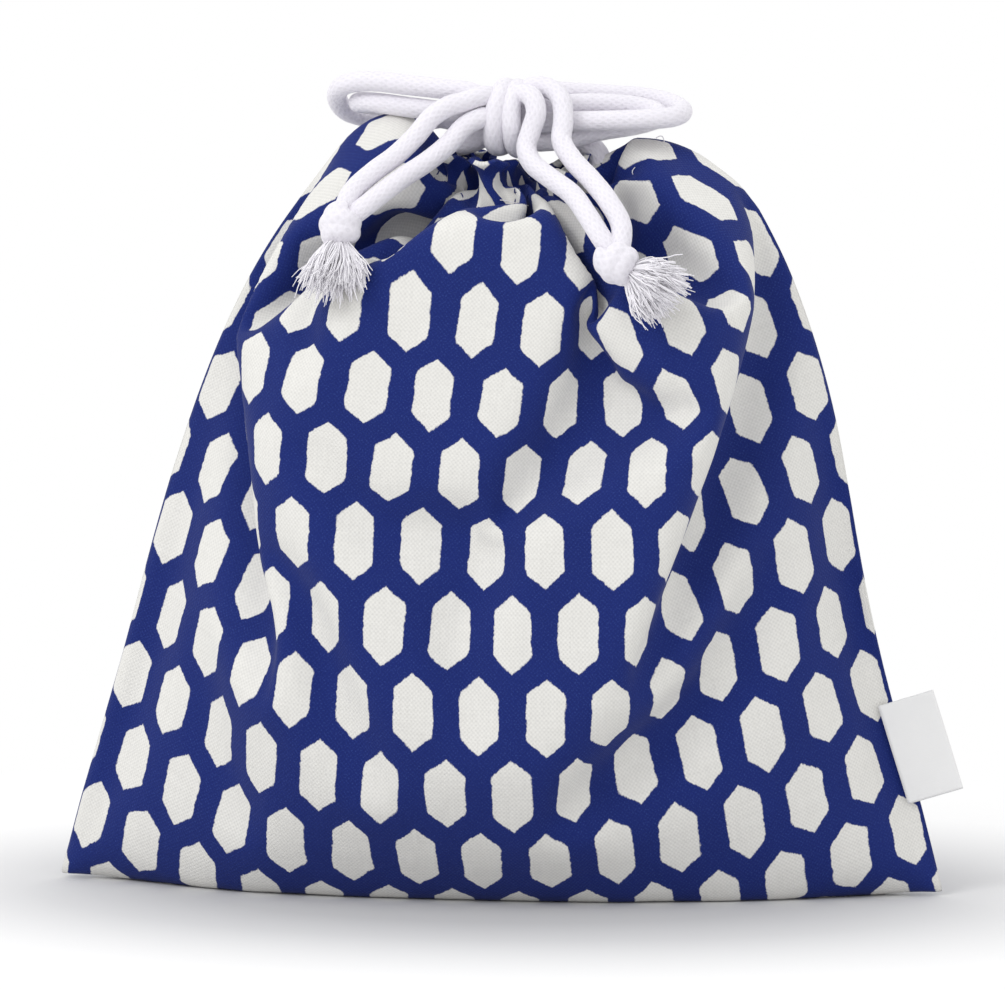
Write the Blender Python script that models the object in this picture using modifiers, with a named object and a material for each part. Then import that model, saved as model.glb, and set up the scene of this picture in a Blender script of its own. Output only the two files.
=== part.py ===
"""Kinchaku drawstring pouch, stuffed, drawn shut and tied in a bow.

Metres, +Z up, front towards -Y. The origin is the middle of the flat base.
The cloth is one closed soft form from a coarse cage. The two drawcords leave the
gathered mouth at its left and right ends, meet in a double bow, and end in knots
with frayed tassels.
"""

import math

import bmesh
import bpy
import numpy as np
from mathutils import Matrix, Vector

# Driving dimensions
MILLIMETRE = 0.001
CORD_DIAMETER = 0.0048
CORD_SIDES = 2            # bevel resolution of the cords: eight sides
END_ROOM = 0.35           # room for the rim of a strand's end face, in diameters
CORD_STEP = 0.0095        # distance between the points of a cord, two diameters
GAP = 0.0003              # room left between two pieces that touch
KNOT_CENTRE = (0.0015, -0.0100, 0.2125)
KNOT_RADII = (0.0062, 0.0068, 0.0092)
END_KNOT_RADII = (0.0064, 0.0062, 0.0070)
END_KNOT_CENTRES = {
    "left": (-0.0395, -0.0450, 0.1845),
    "right": (0.0365, -0.0535, 0.1745),
}
TASSEL_DIRECTIONS = {"left": (-0.10, -0.20, -1.0), "right": (0.86, 0.0, -0.50)}
TASSEL_LENGTH = 0.0150
TASSEL_ROOT_RADIUS = 0.0036
TASSEL_TIP_RADIUS = 0.0085
TASSEL_FLATNESS = 0.70
LABEL_REACH = 0.0120
LABEL_LENGTH = 0.0280
LABEL_THICKNESS = 0.0010
LABEL_MIDDLE = (0.1165, -0.0010, 0.0415)
LABEL_TILT = math.radians(17.5)
MOUTH_CENTRE = (0.006, -0.008)

# Routes of the cord strands, in millimetres, each from the left or right opening of
# the cord channel, or from the bow knot, outwards. The two strands of a drawcord
# run side by side. A route that starts or ends at a knot starts or ends inside it,
# and the strand is trimmed at the knot's surface.
ROUTES = {
    "left_feed_a": ((-14, -5, 204.4), (-9, -6.6, 204.6), (-4, -9.5, 205.6), (1, -10, 208.5)),
    "left_feed_b": ((-14, 0.6, 204.4), (-8.5, -0.8, 205), (-2.5, -3.6, 206.4), (1, -8, 209)),
    "right_feed_a": ((25.5, -4, 204.2), (19, -2.6, 205.8), (12, -3.8, 208), (6, -6.6, 209.4), (2, -9, 210)),
    "right_feed_b": ((25.5, 1.6, 204.2), (19, 3.0, 205.8), (12, 2.3, 208.6), (6, 0, 211.4), (2, -5, 213.5)),
    "left_loop_outer": (
        (1, -11, 217), (-6, -12.4, 218.4), (-14, -12, 219.3), (-24, -10.5, 220.3), (-34, -8, 221.2),
        (-42, -4, 221), (-46, 2, 219.8), (-43.5, 8.2, 218.2), (-36, 11.6, 217), (-26, 9.4, 216.6),
        (-16, 2.9, 216.4), (-8.5, -4, 216.2), (1, -9, 214.5),
    ),
    "left_loop_inner": (
        (1, -11, 212), (-7.2, -13, 212.4), (-14, -12, 213.2), (-24, -9.5, 214.3), (-33, -6.5, 215),
        (-39, -2.5, 215), (-40.6, 2.2, 213.9), (-37, 5.6, 212.4), (-29, 5, 211), (-19, 1.2, 210.5),
        (-10.5, -4.2, 210.4), (1, -9, 211),
    ),
    "right_loop_outer": (
        (2, -7, 217), (8, -4, 218.4), (15, -1.4, 218.4), (26, 3, 217.6), (38, 6, 216.6), (47, 4, 215),
        (52.5, -3, 213.2), (50, -10.4, 212), (42, -13.7, 211.4), (30, -14, 211), (18, -13.2, 210.7),
        (9, -13.4, 210.4), (2, -11, 211),
    ),
    "right_loop_inner": (
        (2, -9, 214), (9, -8.8, 214.6), (16, -7.2, 215), (26, -3.6, 215.3), (36, -2, 214.6),
        (42, -3.4, 213.2), (43, -6.4, 211.6), (38, -7.9, 209.9), (28, -8.6, 208.2), (18, -9.6, 205.9),
        (10, -10.4, 204.8), (3, -10, 206.5),
    ),
    "left_tail_a": (
        (1, -12, 216), (-3, -17.5, 217.7), (-8.1, -19.5, 216), (-11.8, -20.8, 214.9), (-16, -22.6, 212),
        (-20, -25, 207), (-24.8, -29.5, 202), (-31, -35.5, 197.4), (-36.6, -40.5, 192), (-39.5, -45, 185),
    ),
    "left_tail_b": (
        (1, -12, 211), (-2.2, -18.4, 212), (-7.2, -20.8, 209.6), (-11.2, -23.6, 205), (-16.2, -28.4, 200.6),
        (-21.6, -33.4, 196.8), (-27.2, -38.6, 192.6), (-33.4, -43, 188), (-39.5, -45, 184),
    ),
    "right_tail_c": (
        (2, -12, 215), (5.2, -17, 219), (10.3, -19, 217.4), (11.6, -20.8, 213.5), (10.8, -21.8, 208.7),
        (9.8, -24, 204), (11.9, -27.6, 200), (17.2, -32.2, 196.4), (23.8, -39, 192.4), (28.5, -46.6, 187.5),
        (32, -50.8, 181.6), (36.5, -53.5, 175),
    ),
    "right_tail_d": (
        (2, -10, 216), (9.6, -11.6, 220.4), (14.9, -14.4, 219.6), (18.3, -17.2, 216.5), (19.2, -20, 211.1),
        (19.2, -23.2, 205.8), (22.8, -28.4, 201), (28.4, -35.6, 196.2), (33.8, -43.8, 191), (37.2, -48.6, 184.4),
        (36.5, -53.5, 176),
    ),
}

# Levels of the cloth, base to mouth: height at the front and back, height at the
# sides, half width, half depth, and how sharply the section closes at the seams.
LEVELS = (
    (-0.0060, -0.0060, 0.108, 0.027, 0.9),
    (0.0030, 0.0030, 0.126, 0.039, 0.9),
    (0.0200, 0.0200, 0.120, 0.046, 0.6),
    (0.0620, 0.0620, 0.104, 0.051, 0.3),
    (0.1050, 0.1050, 0.0950, 0.052, 0.1),
    (0.1500, 0.1500, 0.0850, 0.048, 0.0),
    (0.1820, 0.1840, 0.0770, 0.040, 0.0),
    (0.1900, 0.2070, 0.0680, 0.031, 0.0),
    (0.1890, 0.2110, 0.0480, 0.022, 0.0),
    (0.1920, 0.2030, 0.0310, 0.017, 0.0),
    (0.2010, 0.2010, 0.0275, 0.0135, 0.0),
    (0.2000, 0.2000, 0.0190, 0.008, 0.0),
    (0.1995, 0.1995, 0.0090, 0.004, 0.0),
)
AROUND = 16
SMOOTHING = 2
LEAN_HEIGHT = 0.19       # height at which a level's centre has reached the mouth's
FLOOR_SIZE = 0.4


def clear_scene():
    """Removes every object that the start-up scene holds."""
    for obj in list(bpy.data.objects):
        bpy.data.objects.remove(obj, do_unlink=True)


def new_collection(name):
    collection = bpy.data.collections.new(name)
    bpy.context.scene.collection.children.link(collection)
    return collection


def material(name, colour, roughness):
    """A Principled material of one colour; cloth and cotton have no metal in them."""
    made = bpy.data.materials.new(name)
    made.use_nodes = True
    shader = made.node_tree.nodes["Principled BSDF"]
    shader.inputs["Base Color"].default_value = (*colour, 1.0)
    shader.inputs["Roughness"].default_value = roughness
    shader.inputs["Metallic"].default_value = 0.0
    return made


def add(name, mesh, collection, finish):
    obj = bpy.data.objects.new(name, mesh)
    collection.objects.link(obj)
    if finish:
        mesh.materials.append(finish)
    return obj


def section(level, centre):
    """One ring of the cloth: an ellipse that closes to a point at the seams as `sharp` grows."""
    front_height, side_height, half_width, half_depth, sharp = level
    turn = np.linspace(0.0, 2.0 * math.pi, AROUND, endpoint=False)
    across, along = np.cos(turn), np.sin(turn)
    x = centre[0] + half_width * across
    y = centre[1] + half_depth * along * np.abs(along) ** sharp
    z = front_height + (side_height - front_height) * across**2
    return np.column_stack([x, y, z])


def pouch_body(collection, cutters, finish):
    """The stuffed pouch: rings lofted from the base to the drawn mouth, subdivided, and cut flat at the floor."""
    rings = []
    for level in LEVELS:
        share = min(1.0, max(0.0, level[0] / LEAN_HEIGHT))
        centre = (MOUTH_CENTRE[0] * share**2, MOUTH_CENTRE[1] * share**2)
        rings.append(section(level, centre))
    mesh = bpy.data.meshes.new("pouch_body")
    cage = bmesh.new()
    rows = [[cage.verts.new(point) for point in ring] for ring in rings]
    for low, high in zip(rows, rows[1:]):
        for side in range(AROUND):
            after = (side + 1) % AROUND
            cage.faces.new((low[side], low[after], high[after], high[side]))
    cage.faces.new(rows[0][::-1])
    cage.faces.new(rows[-1])
    bmesh.ops.recalc_face_normals(cage, faces=cage.faces)
    cage.to_mesh(mesh)
    cage.free()
    body = add("pouch_body", mesh, collection, finish)
    soft = body.modifiers.new("soft form", "SUBSURF")
    soft.levels = SMOOTHING
    soft.render_levels = SMOOTHING
    mesh.shade_smooth()

    floor = bmesh.new()
    bmesh.ops.create_cube(floor, size=FLOOR_SIZE)
    bmesh.ops.translate(floor, verts=floor.verts, vec=(0, 0, -FLOOR_SIZE / 2))
    floor_mesh = bpy.data.meshes.new("floor_cutter")
    floor.to_mesh(floor_mesh)
    floor.free()
    cutter = add("floor_cutter", floor_mesh, cutters, None)
    cutter.hide_render = True
    cutter.display_type = "WIRE"
    flat = body.modifiers.new("flat base", "BOOLEAN")
    flat.operation = "DIFFERENCE"
    flat.object = cutter
    return body


def smooth_route(route):
    """Points CORD_STEP apart on the Catmull-Rom curve through a route's own points, in metres."""
    points = np.array(route, float) * MILLIMETRE
    before = 2 * points[0] - points[1]
    after = 2 * points[-1] - points[-2]
    padded = np.vstack([before, points, after])
    share = np.linspace(0.0, 1.0, 40, endpoint=False)[:, None]
    fine = []
    for p0, p1, p2, p3 in zip(padded, padded[1:], padded[2:], padded[3:]):
        fine.append(
            0.5 * (2 * p1 + (p2 - p0) * share + (2 * p0 - 5 * p1 + 4 * p2 - p3) * share**2
                   + (3 * p1 - p0 - 3 * p2 + p3) * share**3)
        )
    return np.vstack([*fine, points[-1:]])


def outside(points, centre, radii):
    """True where a strand's end face would be clear of the ellipsoid of a knot."""
    room = np.array(radii) + GAP + END_ROOM * CORD_DIAMETER
    return ((((points - np.array(centre)) / room) ** 2).sum(axis=1)) > 1.0


def even_steps(points):
    """The same curve with evenly spaced points, about CORD_STEP apart."""
    lengths = np.concatenate([[0.0], np.linalg.norm(np.diff(points, axis=0), axis=1).cumsum()])
    count = max(4, round(lengths[-1] / CORD_STEP) + 1)
    places = np.linspace(0.0, lengths[-1], count)
    return np.column_stack([np.interp(places, lengths, points[:, axis]) for axis in range(3)])


def strand(name, collection, finish):
    """A tube along one route, trimmed where it meets a knot."""
    points = smooth_route(ROUTES[name])
    side = name.split("_")[0]
    keep = outside(points, KNOT_CENTRE, KNOT_RADII)
    keep &= outside(points, END_KNOT_CENTRES[side], END_KNOT_RADII)
    points = even_steps(points[keep])
    curve = bpy.data.curves.new(name, "CURVE")
    curve.dimensions = "3D"
    curve.bevel_depth = CORD_DIAMETER / 2
    curve.bevel_resolution = CORD_SIDES
    curve.use_fill_caps = True
    spline = curve.splines.new("POLY")
    spline.points.add(len(points) - 1)
    for place, point in zip(spline.points, points):
        place.co = (*point, 1.0)
    return add(name, curve, collection, finish)


def ellipsoid(name, centre, radii, collection, finish):
    """The outer form of a pulled-tight knot."""
    mesh = bpy.data.meshes.new(name)
    ball = bmesh.new()
    bmesh.ops.create_uvsphere(ball, u_segments=20, v_segments=12, radius=1.0)
    bmesh.ops.scale(ball, verts=ball.verts, vec=radii)
    ball.to_mesh(mesh)
    ball.free()
    mesh.shade_smooth()
    obj = add(name, mesh, collection, finish)
    obj.location = centre
    return obj


def tassel(side, collection, finish):
    """The frayed end past a knot: a flattened cone that widens away from the knot."""
    name = f"{side}_tassel"
    mesh = bpy.data.meshes.new(name)
    cone = bmesh.new()
    bmesh.ops.create_cone(
        cone, cap_ends=True, segments=20, radius1=TASSEL_ROOT_RADIUS,
        radius2=TASSEL_TIP_RADIUS, depth=TASSEL_LENGTH,
    )
    bmesh.ops.scale(cone, verts=cone.verts, vec=(1.0, TASSEL_FLATNESS, 1.0))
    cone.to_mesh(mesh)
    cone.free()
    obj = add(name, mesh, collection, finish)
    direction = Vector(TASSEL_DIRECTIONS[side]).normalized()
    reach = max(END_KNOT_RADII) + GAP + TASSEL_LENGTH / 2
    depthwise = Vector((0, 1, 0)) - direction * direction.y
    turn = Matrix((depthwise.cross(direction).normalized(), depthwise.normalized(), direction))
    obj.matrix_world = Matrix.Translation(
        Vector(END_KNOT_CENTRES[side]) + direction * reach
    ) @ turn.transposed().to_4x4()
    return obj


def side_label(collection, finish):
    """The folded tape caught in the right seam: a thin plate that leans with the seam."""
    mesh = bpy.data.meshes.new("side_label")
    plate = bmesh.new()
    bmesh.ops.create_cube(plate, size=1.0)
    bmesh.ops.scale(plate, verts=plate.verts, vec=(LABEL_REACH, LABEL_THICKNESS, LABEL_LENGTH))
    plate.to_mesh(mesh)
    plate.free()
    label = add("side_label", mesh, collection, finish)
    label.location = LABEL_MIDDLE
    label.rotation_euler = (0.0, -LABEL_TILT, 0.0)
    return label


def main():
    clear_scene()
    parts = new_collection("kinchaku_pouch")
    cutters = new_collection("cutters")
    canvas = material("printed canvas", (0.05, 0.12, 0.42), 0.85)
    cotton = material("white cotton cord", (0.86, 0.85, 0.89), 0.80)
    tape = material("label tape", (0.88, 0.88, 0.88), 0.65)
    pouch_body(parts, cutters, canvas)
    side_label(parts, tape)
    ellipsoid("bow_knot", KNOT_CENTRE, KNOT_RADII, parts, cotton)
    for name in ROUTES:
        strand(name, parts, cotton)
    for side, centre in END_KNOT_CENTRES.items():
        ellipsoid(f"{side}_end_knot", centre, END_KNOT_RADII, parts, cotton)
        tassel(side, parts, cotton)


main()
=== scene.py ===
"""The drawstring pouch as a finished model: printed canvas, braided cotton cords, label and stage.

The cloth is simulated from its flat cut: a folded rectangle whose hem is drawn into
pleats while light pressure stands in for the soft filling. The cord strands follow
given routes, tied in a double bow.
"""

import math

import bmesh
import bpy
import numpy as np
from bpy.props import FloatProperty, FloatVectorProperty, IntProperty, PointerProperty
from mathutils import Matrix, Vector
from mathutils.bvhtree import BVHTree


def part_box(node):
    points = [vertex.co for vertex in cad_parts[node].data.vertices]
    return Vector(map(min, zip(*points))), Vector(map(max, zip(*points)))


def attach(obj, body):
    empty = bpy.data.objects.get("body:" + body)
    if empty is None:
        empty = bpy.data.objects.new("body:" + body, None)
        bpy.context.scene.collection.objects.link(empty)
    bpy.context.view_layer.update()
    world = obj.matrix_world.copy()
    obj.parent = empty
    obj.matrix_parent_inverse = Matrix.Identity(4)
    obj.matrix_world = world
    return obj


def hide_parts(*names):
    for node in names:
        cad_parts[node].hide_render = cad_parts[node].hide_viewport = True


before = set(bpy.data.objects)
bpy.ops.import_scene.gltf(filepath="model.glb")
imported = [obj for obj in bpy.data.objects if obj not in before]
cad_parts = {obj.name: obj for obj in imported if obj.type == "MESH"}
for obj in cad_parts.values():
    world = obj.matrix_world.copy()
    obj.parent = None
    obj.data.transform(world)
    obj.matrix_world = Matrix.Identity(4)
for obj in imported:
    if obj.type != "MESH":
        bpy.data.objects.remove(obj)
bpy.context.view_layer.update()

bl_info = {
    "name": "Drawstring pouch",
    "version": (1, 0, 0),
    "blender": (4, 5, 0),
    "location": "View3D > Sidebar > Pouch",
    "description": "Builds a stuffed cotton drawstring pouch tied in a bow",
    "category": "Object",
}

MM = 0.001
TURN = 2 * math.pi

# ---------------------------------------------------------------- cloth shape, in metres
SIM_SCALE = 10.0                # the solver works on a model ten times larger
WALL_REACH = 0.3                # how far the walls round the simulated cloth extend
MOUTH_CENTRE = (0.006, -0.006)
MOUTH_HALF = (0.015, 0.003)     # half width and half depth of the mouth inside its pleats
MOUTH_TOP = 0.198
MOUTH_FLARE = 0.06              # how much wider the mouth's edge is than the channel's foot
# Half width and height of each seam from the base corner up over the shoulder and down
# to the gathered hem, in millimetres.
SEAM_OUTLINES = {
    -1: (
        (125, 0), (118, 25), (111, 46), (104, 64), (98, 91), (94.5, 105), (89.5, 130), (85, 152),
        (78, 171), (67, 189), (53, 202), (40, 207), (29, 207), (22, 202), (19, 195),
    ),
    1: (
        (123, 0), (116.5, 25), (110, 46), (104, 64), (98, 91), (95.5, 106), (91.5, 130), (87, 152),
        (81.5, 168), (72, 183), (60, 196), (47, 204), (35, 206), (26, 203), (20, 196),
    ),
}
# Place across, width and lift of each shoulder's crest.
SHOULDER_LIFTS = ((-0.027, 0.020, 0.0125), (0.041, 0.024, 0.0060))
CORD_BAND = (0.006, 0.013)      # where the cords run, above the channel's stitching
PLEATS = 7.0                    # waves in one whole turn round the mouth
PLEAT_DEPTH = (0.006, 0.010)    # at the sides, and how much more at the front and back
SEAM_PULL = 0.3                 # how firmly a seam follows its outline above the base
CORD_GAP = 0.0008               # least space left between a cord's surface and the cloth's grid
KNOT_REACH = 0.0072             # least distance from an end knot's middle to the cloth's grid

# ---------------------------------------------------------------- braid of the cords
BRAID_YARNS = 11                # yarns of each slant round a cord
BRAID_LENGTH = 0.0085 / 3.0     # length along a cord from one ridge to the next
BRAID_RELIEF = 0.010            # height of the ridges as a share of the cord's radius


# ---------------------------------------------------------------- cord routes
# Each strand in millimetres: out of the channel's opening, through the bow knot, round
# its loop, back through the knot and down its tail to the end knot.
STRANDS = {
    "left_strand_a": (
        (-15, -6, 191), (-16.4, -5.6, 197), (-14, -5, 202.8), (-9, -6.6, 204.2), (-4, -8.4, 206.2),
        (-0.5, -10, 210), (-1.5, -11.4, 214.4),
        (-6, -12.4, 218.2), (-14, -12, 219.3), (-24, -10.5, 220.3), (-34, -8, 221.2),
        (-42, -4, 220.2), (-45.4, 2.4, 216.8), (-43.6, 8.6, 212.6), (-37, 11.6, 210.6), (-27, 10.4, 209.8),
        (-16.6, 5.6, 211), (-8.5, -1.6, 213.6), (-2, -8.8, 215.8), (0.4, -12.6, 217),
        (-3, -17.2, 217.6), (-8.1, -19.5, 216), (-11.8, -20.8, 214.9), (-16, -22.6, 212),
        (-20, -25, 207), (-24.8, -29.5, 202), (-30, -35.5, 197.8), (-35, -40.5, 192.6), (-37.3, -45, 185.5),
    ),
    "left_strand_b": (
        (-15, 0.6, 191), (-16.4, 0.6, 197), (-14, 0.6, 202.8), (-8.5, -0.8, 204.8), (-3, -4.4, 206.4),
        (0.5, -8.4, 208.6), (-2, -11.8, 211.6),
        (-7.2, -13, 212.4), (-14, -12, 213.2), (-24, -9.5, 214.3), (-32, -6.5, 215.2),
        (-37.6, -2.6, 215.4), (-39, 1.6, 215), (-35, 4.6, 214.4), (-28, 3.8, 213.4), (-19, 0.4, 211.6),
        (-10.5, -4.2, 210.4), (-3.5, -8.4, 210.6), (0.6, -13, 211.4), (-2.4, -18, 212),
        (-7.2, -20.8, 209.6), (-11.2, -23.6, 205), (-16.2, -28.4, 200.6),
        (-21.6, -33.4, 196.8), (-26.4, -38.6, 193), (-31.8, -43, 188.6), (-37.3, -45, 184.5),
    ),
    "right_strand_a": (
        (25, -5, 191), (27.4, -4.4, 197.4), (25.5, -4, 202.8), (19, -2.6, 205.6), (12, -3.8, 207.6),
        (5.6, -6.6, 206.6), (1.6, -10.6, 204.2),
        (0.2, -15.4, 204.8), (0.2, -18.2, 208.6), (0.6, -18.4, 213), (1.4, -16.8, 216.8), (2.2, -12.4, 219.4),
        (3, -7.6, 219.4), (5.4, -4, 218.2), (9.4, -3.4, 218.2), (15, -1.4, 218.4), (26, 3, 217.6),
        (37, 6, 216.8), (45, 4, 215.4), (49.6, -3, 213.4), (47.4, -10.4, 212), (40, -13.7, 211.4),
        (30, -14, 211), (18, -13.2, 210.7), (9, -12.8, 210.6), (4.6, -12, 213.4), (6, -14.2, 217.8),
        (10.4, -18.4, 217.6), (12, -20.8, 213.5), (10.8, -21.8, 208.7), (9.8, -24, 204),
        (11.9, -27.6, 200), (17.2, -32.2, 196.4), (23.8, -39, 192.4), (28.5, -46.6, 187.5),
        (32.6, -50.8, 182), (37.4, -53.5, 175.6),
    ),
    "right_strand_b": (
        (25, 1.6, 191), (27.4, 1.6, 197.4), (25.5, 1.6, 202.8), (19, 3, 205.6), (12, 1.4, 207.4),
        (8.4, -5.4, 204.8), (6.6, -10.8, 203.4),
        (5.6, -15.6, 204.6), (5.2, -18.4, 208.8), (4.8, -18.2, 213), (5.2, -16.2, 217), (6, -11.8, 219.4),
        (6.2, -7.8, 218.4), (6.6, -7.6, 216), (10, -8.4, 214.8), (16, -7.2, 215), (26, -3.6, 215.3),
        (36, -2, 214.6), (42, -3.4, 213.2), (43, -6.4, 211.6), (38, -7.9, 209.9), (28, -8.6, 208.2),
        (18, -9.6, 205.9), (10, -10.4, 205.6), (6, -9.6, 210), (6.6, -10, 215.4), (9.6, -11.8, 219.8),
        (14.9, -14.4, 219.6), (18.3, -17.2, 216.5), (19.2, -20, 211.1), (19.2, -23.2, 205.8),
        (22.8, -28.4, 201), (28.4, -35.6, 196.2), (33.8, -43.8, 191), (37.8, -48.6, 184.4),
        (37.4, -53.5, 176.4),
    ),
}
STRAND_NODES = {
    "left_strand_a": ("left_feed_a", "left_loop_outer", "left_tail_a"),
    "left_strand_b": ("left_feed_b", "left_loop_inner", "left_tail_b"),
    "right_strand_a": ("right_feed_a", "right_loop_outer", "right_tail_c", "bow_knot"),
    "right_strand_b": ("right_feed_b", "right_loop_inner", "right_tail_d"),
}
# Middle of each end knot, in millimetres.
END_KNOTS = {"left": (-37.3, -45, 184.0), "right": (37.4, -53.5, 175.2)}
# Across, up and length in millimetres of the loose ends of sewing thread on the front.
LOOSE_THREADS = (
    (-22.5, 209, 7), (38, 198.5, 8), (-9, 192.5, 6), (2.5, 190, 7), (45, 205, 5), (-4, 203, 6),
)
TASSEL_DIRECTIONS = {"left": (-0.10, -0.20, -1.0), "right": (0.86, 0.0, -0.50)}
TUFT_LENGTH = (0.0100, 0.0135)
TUFT_LEAN = math.radians(62.0)  # how far the outermost tufts lean out


# ---------------------------------------------------------------- settings
class PouchClothSettings(bpy.types.PropertyGroup):
    """Sizes and colours of the printed canvas."""

    width: FloatProperty(
        name="Flat width", description="Width of the flat pouch between its seams",
        default=0.248, unit="LENGTH",
    )
    height: FloatProperty(
        name="Flat height", description="Height of the flat pouch from the fold to the hem's top edge",
        default=0.259, unit="LENGTH",
    )
    hem: FloatProperty(
        name="Hem", description="Height of the cord channel at the top",
        default=0.018, unit="LENGTH",
    )
    thickness: FloatProperty(
        name="Thickness", description="Thickness of the canvas", default=0.0006, unit="LENGTH",
    )
    cell: FloatProperty(
        name="Cell", description="Side of one cell of the cloth grid", default=0.004, unit="LENGTH",
    )
    filling: FloatProperty(
        name="Filling", description="Pressure of the soft filling on the cloth", default=1.3,
    )
    neck: FloatProperty(
        name="Neck", description="Height below the hem that the filling reaches less",
        default=0.050, unit="LENGTH",
    )
    neck_filling: FloatProperty(
        name="Neck filling", description="Share of the filling's pressure at the hem", default=0.2,
    )
    depth: FloatProperty(
        name="Depth", description="Most that the filled pouch is deep", default=0.100, unit="LENGTH",
    )
    sag: FloatProperty(
        name="Sag", description="How far the filled base is pressed flat by its own weight",
        default=0.0010, unit="LENGTH",
    )
    base_sink: FloatProperty(
        name="Base sink", description="How far the filling presses the base out to the floor",
        default=0.010, unit="LENGTH",
    )
    stiffness: FloatProperty(
        name="Stiffness", description="Bending stiffness of the canvas in the solver", default=5.0,
    )
    frames: IntProperty(
        name="Settling", description="Steps in which the cloth is drawn shut and settles", default=52,
    )
    blue: FloatVectorProperty(
        name="Ink", description="Colour of the printed ink", default=(0.0032, 0.0128, 0.118),
        subtype="COLOR", min=0, max=1,
    )
    ground: FloatVectorProperty(
        name="Ground", description="Colour of the unprinted cotton", default=(0.775, 0.765, 0.735),
        subtype="COLOR", min=0, max=1,
    )
    cell_pitch: FloatProperty(
        name="Print pitch", description="Distance between the hexagons of a row",
        default=0.0180, unit="LENGTH",
    )
    row_pitch: FloatProperty(
        name="Row pitch", description="Height from one row of hexagons to the next",
        default=0.0205, unit="LENGTH",
    )
    thread: FloatProperty(
        name="Thread pitch", description="Distance between neighbouring threads of the weave",
        default=0.00058, unit="LENGTH",
    )


class PouchCordSettings(bpy.types.PropertyGroup):
    """Sizes and colours of the drawcords."""

    diameter: FloatProperty(
        name="Diameter", description="Diameter of the braided cord", default=0.0055, unit="LENGTH",
    )
    sides: IntProperty(name="Sides", description="Points round a cord", default=24)
    step: FloatProperty(
        name="Step", description="Length of one ring of a cord", default=0.0006, unit="LENGTH",
    )
    colour: FloatVectorProperty(
        name="Cotton", description="Colour of the cord", default=(0.825, 0.800, 0.865),
        subtype="COLOR", min=0, max=1,
    )
    fibres: IntProperty(name="Fibres", description="Loose fibres in one tassel", default=800)
    tufts: IntProperty(name="Tufts", description="Tufts of fibres in one tassel", default=25)


class PouchStageSettings(bpy.types.PropertyGroup):
    """Where the camera and the lights stand."""

    azimuth: FloatProperty(
        name="Azimuth", description="How far the camera stands towards the label's side",
        default=math.radians(7.0), subtype="ANGLE",
    )
    elevation: FloatProperty(
        name="Elevation", description="How far the camera looks down",
        default=math.radians(6.0), subtype="ANGLE",
    )
    distance: FloatProperty(
        name="Distance", description="Distance from the camera to the pouch",
        default=1.5, unit="LENGTH",
    )
    view_width: FloatProperty(
        name="View width", description="Width that the picture covers at the pouch",
        default=0.2746, unit="LENGTH",
    )


# ---------------------------------------------------------------- shader maths
class Value:
    """A number on a shader socket; arithmetic on it adds Math nodes."""

    def __init__(self, tree, socket):
        self.tree = tree
        self.socket = socket

    def math(self, operation, *others):
        """Adds one Math node that works on this value and the others."""
        node = self.tree.nodes.new("ShaderNodeMath")
        node.operation = operation
        for slot, value in zip(node.inputs, (self, *others)):
            if isinstance(value, Value):
                self.tree.links.new(value.socket, slot)
            else:
                slot.default_value = value
        return Value(self.tree, node.outputs[0])

    def __add__(self, other):
        return self.math("ADD", other)

    __radd__ = __add__

    def __mul__(self, other):
        return self.math("MULTIPLY", other)

    __rmul__ = __mul__

    def __sub__(self, other):
        return self.math("SUBTRACT", other)

    def __rsub__(self, other):
        return (self * -1.0) + other

    def __truediv__(self, other):
        return self.math("DIVIDE", other)

    def clamp(self):
        """This value held between 0 and 1."""
        return self.math("MAXIMUM", 0.0).math("MINIMUM", 1.0)


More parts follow.
